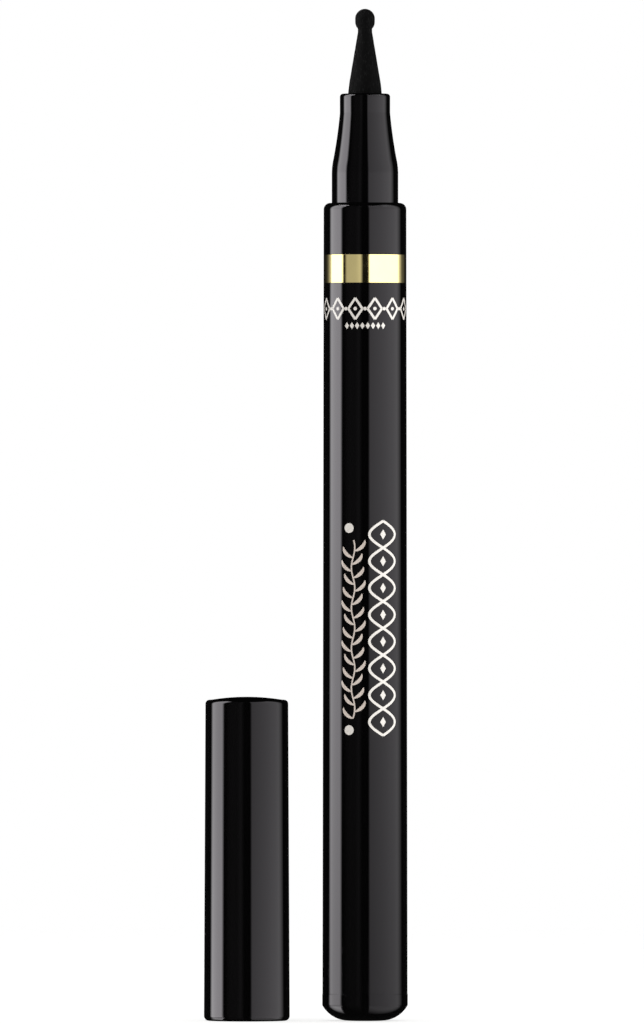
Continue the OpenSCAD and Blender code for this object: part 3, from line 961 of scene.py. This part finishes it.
def print_strip(bm, sizes, lefts, rights, proud):
    """Prints a strip of ink between two lines of (distance round, height) points."""
    lefts, rights = [Vector(p) for p in lefts], [Vector(p) for p in rights]
    widest = max((a - b).length for a, b in zip(lefts, rights))
    parts = max(1, math.ceil(widest / PRINT_STEP))
    rows = []
    for left, right in zip(lefts, rights):
        line = [left.lerp(right, k / parts) for k in range(parts + 1)]
        top, under = ([bm.verts.new(on_barrel(sizes, p, out)) for p in line] for out in (proud, -INK_SINK))
        rows.append(top + under[::-1])
    count = len(rows[0])
    for low, high in zip(rows, rows[1:]):
        for k in range(count):
            after = (k + 1) % count
            bm.faces.new([low[k], low[after], high[after], high[k]])
    for end in (rows[0][::-1], rows[-1]):
        for k in range(parts):
            bm.faces.new([end[k], end[k + 1], end[-2 - k], end[-1 - k]])


def print_line(bm, sizes, points, widths, proud):
    """Prints a line of ink along points, with a width at each point or one for all."""
    if isinstance(widths, float):
        widths = [widths] * len(points)
    points = [Vector(p) for p in points]
    lefts, rights = [], []
    for before, point, after, width in zip(points[:1] + points, points, points[1:] + points[-1:], widths):
        ahead = after - before
        side = Vector((-ahead.y, ahead.x)).normalized() * width / 2
        lefts.append(point + side)
        rights.append(point - side)
    print_strip(bm, sizes, lefts, rights, proud)


def print_spot(bm, sizes, middle, half_width, half_height, proud, rounded=False):
    """Prints a lozenge of ink, or a dot where it is rounded."""
    lefts, rights = [], []
    for k in range(DOT_STEPS + 1):
        rise = k / DOT_STEPS * 2 - 1
        half = 1 - abs(rise)
        if rounded:
            rise, half = math.sin(math.pi / 2 * rise), math.cos(math.pi / 2 * rise)
        half = max(half_width * half, LEAST_HALF)
        z = middle[1] + half_height * rise
        lefts.append((middle[0] - half, z))
        rights.append((middle[0] + half, z))
    print_strip(bm, sizes, lefts, rights, proud)


def draw_chain(bm, s, o):
    """Draws the broad chain: two waves that cross, with a lozenge in each eye."""
    top, foot = (pixel_height(row) for row in CHAIN_PIXELS[2:])
    left, right = (pixel_across(s, column, foot) for column in CHAIN_PIXELS[:2])
    middle, swing = (left + right) / 2, (right - left - o.bold_line) / 2
    shares = [k / (CHAIN_EYES * EYE_STEPS) for k in range(CHAIN_EYES * EYE_STEPS + 1)]
    for strand in (0, 1):
        turns = [math.pi * (CHAIN_EYES * t + strand) for t in shares]
        points = [(middle + swing * math.sin(a), foot + (top - foot) * t) for a, t in zip(turns, shares)]
        print_line(bm, s, points, o.bold_line, o.proud + strand * LAP)
    eye = (top - foot) / CHAIN_EYES
    for k in range(CHAIN_EYES):
        print_spot(bm, s, (middle, foot + eye * (k + 0.5)), EYE_HALF, EYE_RISE, o.proud)


def draw_dots(bm, s, o):
    """Draws the two large dots over and under the sprig."""
    for z in (pixel_height(row) for row in DOT_PIXELS[1:]):
        print_spot(bm, s, (pixel_across(s, DOT_PIXELS[0], z), z), o.dot_r, o.dot_r, o.proud, True)


def draw_sprig(bm, s, o):
    """Draws the fine sprig: a waving stem with slender leaves to both sides."""
    high, low = (pixel_height(row) for row in SPRIG_PIXELS[1:])
    middle = pixel_across(s, SPRIG_PIXELS[0], low)
    pitch = (high - low - LEAF_RISE) / (2 * LEAF_PAIRS - 1)

    def stem(z):
        return middle + STEM_SWING * math.sin(math.pi * (z - low) / (STEM_PITCHES * pitch))

    heights = [low + (high - low) * k / STEM_STEPS for k in range(STEM_STEPS + 1)]
    print_line(bm, s, [(stem(z), z) for z in heights], o.fine_line * STEM_SHARE, o.proud)
    shares = [k / LEAF_STEPS for k in range(LEAF_STEPS + 1)]
    widths = [o.fine_line * (LEAF_END + LEAF_SWELL * math.sin(math.pi * t) ** LEAF_POWER) for t in shares]
    for k in range(2 * LEAF_PAIRS):
        reach = LEAF_REACH if k % 2 else -LEAF_REACH
        z = low + pitch * k
        root = stem(z)
        leaf = [(root + reach * math.sin(math.pi / 2 * t), z + LEAF_RISE * t ** LEAF_CURL) for t in shares]
        print_line(bm, s, leaf, widths, o.proud + LAP)


def draw_row(bm, s, o):
    """Draws the row under the band: open lozenges joined by dots, with small lozenges under them."""
    high, low = (pixel_height(row) for row in ROW_PIXELS)
    for k in range(ROW_COUNT):
        middle = (k - (ROW_COUNT - 1) / 2) * ROW_PITCH
        corners = [(middle, high - ROW_RISE), (middle + ROW_REACH, high),
                   (middle, high + ROW_RISE), (middle - ROW_REACH, high)]
        for a, b in zip(corners, corners[1:] + corners[:1]):
            line = [Vector(a).lerp(Vector(b), t / ROW_STEPS) for t in range(ROW_STEPS + 1)]
            lap = LAP if a[0] == middle else 0.0
            print_line(bm, s, line, o.fine_line * ROW_SHARE, o.proud + lap)
    for k in range(2 * ROW_COUNT - 1):
        middle = (k - (ROW_COUNT - 1)) * ROW_PITCH / 2
        print_spot(bm, s, (middle, high), ROW_DOT, ROW_DOT, o.proud, True)
    for k in range(SMALL_COUNT):
        middle = (k - (SMALL_COUNT - 1) / 2) * SMALL_PITCH
        print_spot(bm, s, (middle, low), SMALL_HALF, SMALL_RISE, o.proud)


class EYELINER_OT_ornament(bpy.types.Operator):
    """Prints the ornament on the barrel's front: a chain, a sprig between two dots and a row of lozenges"""

    bl_idname = "eyeliner.print_ornament"
    bl_label = "Print the ornament"

    def execute(self, context):
        f = context.scene.finishes
        cream = cream_print("cream_print", f.cream[:])
        beige = cream_print("beige_print", f.beige[:])
        drawings = {
            "print_chain": (draw_chain, cream),
            "print_dots": (draw_dots, cream),
            "print_sprig": (draw_sprig, beige),
            "print_row": (draw_row, cream),
        }
        for name, (draw, ink) in drawings.items():
            bm = bmesh.new()
            draw(bm, context.scene.pen_sizes, context.scene.print_sizes)
            finish_piece(bm, name, ink, "pen", PRINT_SLOT)
        return {"FINISHED"}


class EYELINER_OT_inside(bpy.types.Operator):
    """Gives the holder, the reservoir and its film their finishes"""

    bl_idname = "eyeliner.dress_inside"
    bl_label = "Dress the inside"

    def execute(self, context):
        f = context.scene.finishes
        finishes = {
            "nib_holder": satin_white("satin_white_holder", f.liner[:]),
            "reservoir_core": inked_fibre("inked_fibre", f.ink[:]),
            "reservoir_wrap": clear_film("clear_film", f.film[:]),
        }
        for name, material in finishes.items():
            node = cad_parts[name]
            node.visible_glossy = False
            bpy.data.collections[LIT + "pen"].objects.link(node)
            node.data.materials.clear()
            node.data.materials.append(material)
        return {"FINISHED"}


# Stage

def glow_finish(name, strength, share):
    """Light of a panel at a share of its strength that nodes work out.

    It lets rays through, so that a light behind it shows as well.
    """
    material = bpy.data.materials.new(name)
    tree = empty_tree(material)
    power = calculate(tree, "MULTIPLY", share(tree), strength)
    light = add_node(tree, "Emission", Strength=power)
    through = add_node(tree, "BsdfTransparent")
    both = add_node(tree, "AddShader", i_0=light, i_1=through)
    add_node(tree, "OutputMaterial", Surface=both)
    return material


def share_along(tree, value, stops):
    """A share that follows a value. A stop is (value, share)."""
    start, end = stops[0][0], stops[-1][0]
    ramp = tree.nodes.new("ShaderNodeValToRGB")
    feed(tree, ramp, Fac=fit_range(tree, value, start, end, 0.0, 1.0))
    points = ramp.color_ramp.elements
    while len(points) < len(stops):
        points.new(0.5)
    for point, (spot, share) in zip(points, stops):
        point.position = (spot - start) / (end - start)
        point.color = (share, share, share, 1.0)
    return ramp.outputs["Color"]


def wall_glow(name, strength, stops, rise):
    """Light of an upright panel, with a share at each angle in degrees and one at each height."""
    def share(tree):
        axes = split(tree, add_node(tree, "TexCoord", out="Object"))
        front = calculate(tree, "MULTIPLY", axes["Y"], -1.0)
        angle = calculate(tree, "ARCTAN2", axes["X"], front)
        round_pen = share_along(tree, angle, [(math.radians(spot), value) for spot, value in stops])
        return calculate(tree, "MULTIPLY", round_pen, share_along(tree, axes["Z"], rise))
    return glow_finish(name, strength, share)


def flat_glow(name, strength, side):
    """Light of a flat panel, which fades out towards the back, the middle and the far corners."""
    def share(tree):
        axes = split(tree, add_node(tree, "TexCoord", out="Object"))
        out = calculate(tree, "SUBTRACT", calculate(tree, "MULTIPLY", axes["X"], side), axes["Y"])
        squares = [calculate(tree, "MULTIPLY", axes[axis], axes[axis]) for axis in ("X", "Y")]
        near = fit_range(tree, calculate(tree, "ADD", *squares), *FAR_SQUARES, 1.0, 0.0)
        return calculate(tree, "MULTIPLY", fit_range(tree, out, 0.0, FLAT_FADE, 0.0, 1.0), near)
    return glow_finish(name, strength, share)


def hang_light(name, light, corners, seen_by, faces=((0, 1, 2, 3),)):
    """Hangs a glowing panel that only the pieces of one group see."""
    bm = bmesh.new()
    verts = [bm.verts.new(corner) for corner in corners]
    for face in faces:
        bm.faces.new([verts[k] for k in face])
    panel = make_object(bm, name, light)
    panel.visible_camera = False
    panel.light_linking.receiver_collection = bpy.data.collections[LIT + seen_by]


def set_room(scene, fill):
    """Sets a white room to look at, which gives only a little light of its own."""
    world = bpy.data.worlds.new("white_room")
    tree = empty_tree(world)
    seen = add_node(tree, "LightPath", out="Is Camera Ray")
    white = add_node(tree, "Background", Color=(1, 1, 1, 1), Strength=1.0)
    dim = add_node(tree, "Background", Color=(1, 1, 1, 1), Strength=fill)
    mixed = add_node(tree, "MixShader", Fac=seen, i_1=dim, i_2=white)
    add_node(tree, "OutputWorld", Surface=mixed)
    scene.world = world
    scene.view_settings.view_transform = "Standard"
    scene.view_settings.look = "None"


def lay_floor(tint):
    """Lays a round pale floor, whose edge fades out."""
    material = bpy.data.materials.new("pale_floor")
    tree = empty_tree(material)
    place = add_node(tree, "TexCoord", out="Object")
    away = add_node(tree, "VectorMath", {"operation": "LENGTH"}, out="Value", i_0=place)
    clear = fit_range(tree, away, FLOOR_FADE, FLOOR_R * FLOOR_END, 0.0, 1.0, True)
    matte = add_node(tree, "BsdfDiffuse", Color=(*lighter(tint, FLOOR_MATTE), 1.0))
    light = add_node(tree, "Emission", Color=(*tint, 1.0), Strength=FLOOR_GLOW)
    both = add_node(tree, "AddShader", i_0=matte, i_1=light)
    through = add_node(tree, "BsdfTransparent")
    mixed = add_node(tree, "MixShader", Fac=clear, i_1=both, i_2=through)
    add_node(tree, "OutputMaterial", Surface=mixed)
    bm = bmesh.new()
    bmesh.ops.create_circle(bm, cap_ends=True, radius=FLOOR_R, segments=FLOOR_SIDES)
    floor = make_object(bm, "pale_floor", material)
    floor.visible_glossy = False
    return floor


def hang_wall(name, strength, stops, group, low, distance):
    """Hangs an upright light round the pen, over the angles of its stops, dimmed to low at its foot."""
    lit = LIT_GROUPS[group]
    lowest = lit["rise"][0][1]
    rise = ((DIM_LOW, lowest * low), (DIM_HIGH, lowest), *lit["rise"])
    far = distance * lit["near"]
    start, end = math.radians(stops[0][0]), math.radians(stops[-1][0])
    angles = [start + (end - start) * k / PANEL_PARTS for k in range(PANEL_PARTS + 1)]
    places = [(far * math.sin(a), -far * math.cos(a)) for a in angles]
    corners = [(x, y, LIGHT_FOOT) for x, y in places] + [(x, y, LIGHT_TOP) for x, y in places[::-1]]
    faces = [(k, k + 1, -k - 2, -k - 1) for k in range(PANEL_PARTS)]
    hang_light(name, wall_glow(name, strength, stops, rise), corners, group, faces)


def place_camera(scene, distance):
    """Places a level camera far away, so that the photograph's frame just holds the pen."""
    camera = bpy.data.cameras.new("camera")
    camera.sensor_width = SENSOR
    camera.lens = SENSOR * distance / (PHOTO_HEIGHT * PIXEL)
    camera.clip_start = NEAREST
    holder = bpy.data.objects.new("camera", camera)
    middle_x = (PHOTO_WIDTH / 2 - AXIS_PIXEL) * PIXEL
    holder.location = (middle_x, -distance, pixel_height(PHOTO_HEIGHT / 2))
    holder.rotation_euler = (math.pi / 2, 0.0, 0.0)
    scene.collection.objects.link(holder)
    scene.camera = holder


class EYELINER_OT_stage(bpy.types.Operator):
    """Sets the floor, the lights, the room and the camera"""

    bl_idname = "eyeliner.set_stage"
    bl_label = "Set the stage"

    def execute(self, context):
        scene, studio = context.scene, context.scene.studio
        set_room(scene, studio.fill)
        floor = lay_floor(scene.finishes.floor[:])
        for group in LIT_GROUPS:
            bpy.data.collections.new(LIT + group)
        for name, source, stops, groups, low in WALL_LIGHTS:
            for group in groups:
                strength = getattr(studio, source)
                hang_wall(f"{name}_{group}", strength, stops, group, low, studio.light_distance)
        for name, source, share, side, corners in FLAT_LIGHTS:
            for group in BLACK_GROUPS:
                lit = LIT_GROUPS[group]
                light = flat_glow(f"{name}_{group}", getattr(studio, source) * share * lit["flat"], side)
                places = [(x, y, LIGHT_FOOT * lit["near"]) for x, y in corners]
                hang_light(f"{name}_{group}", light, places, group)
        bpy.data.collections.new(LIT + "floor").objects.link(floor)
        places = [(x * SKY_HALF, y * SKY_HALF, SKY_HIGH) for x, y in ((-1, -1), (1, -1), (1, 1), (-1, 1))]
        light = glow_finish("sky_light", studio.sky_light, lambda tree: 1.0)
        hang_light("sky_light", light, places, "floor")
        place_camera(scene, studio.camera_distance)
        return {"FINISHED"}


class EYELINER_PT_panel(bpy.types.Panel):
    """Lists the sizes, the finishes and the steps that make the pen"""

    bl_idname = "EYELINER_PT_panel"
    bl_label = "Eyeliner pen"
    bl_space_type = "VIEW_3D"
    bl_region_type = "UI"
    bl_category = "Eyeliner pen"

    def draw(self, context):
        for name, group in PROPERTIES.items():
            box = self.layout.box()
            box.label(text=name.replace("_", " ").capitalize())
            for key in group.__annotations__:
                box.prop(getattr(context.scene, name), key)
        for operator in OPERATORS:
            self.layout.operator(operator.bl_idname)


OPERATORS = (
    EYELINER_OT_stage,
    EYELINER_OT_barrel,
    EYELINER_OT_gold_band,
    EYELINER_OT_foot_plug,
    EYELINER_OT_nose,
    EYELINER_OT_felt_nib,
    EYELINER_OT_cap,
    EYELINER_OT_cap_liner,
    EYELINER_OT_ornament,
    EYELINER_OT_inside,
)
CLASSES = (*PROPERTIES.values(), *OPERATORS, EYELINER_PT_panel)


def register():
    for cls in CLASSES:
        bpy.utils.register_class(cls)
    for name, group in PROPERTIES.items():
        setattr(bpy.types.Scene, name, PointerProperty(type=group))


def unregister():
    for name in PROPERTIES:
        delattr(bpy.types.Scene, name)
    for cls in reversed(CLASSES):
        bpy.utils.unregister_class(cls)


def main():
    """Makes the stage and every piece in order."""
    register()
    bpy.ops.eyeliner.set_stage()
    bpy.ops.eyeliner.turn_barrel()
    bpy.ops.eyeliner.fit_gold_band()
    bpy.ops.eyeliner.turn_foot_plug()
    bpy.ops.eyeliner.turn_nose()
    bpy.ops.eyeliner.shape_felt_nib()
    bpy.ops.eyeliner.turn_cap()
    bpy.ops.eyeliner.turn_cap_liner()
    bpy.ops.eyeliner.print_ornament()
    bpy.ops.eyeliner.dress_inside()
    bpy.context.view_layer.update()


if __name__ == "__main__":
    main()
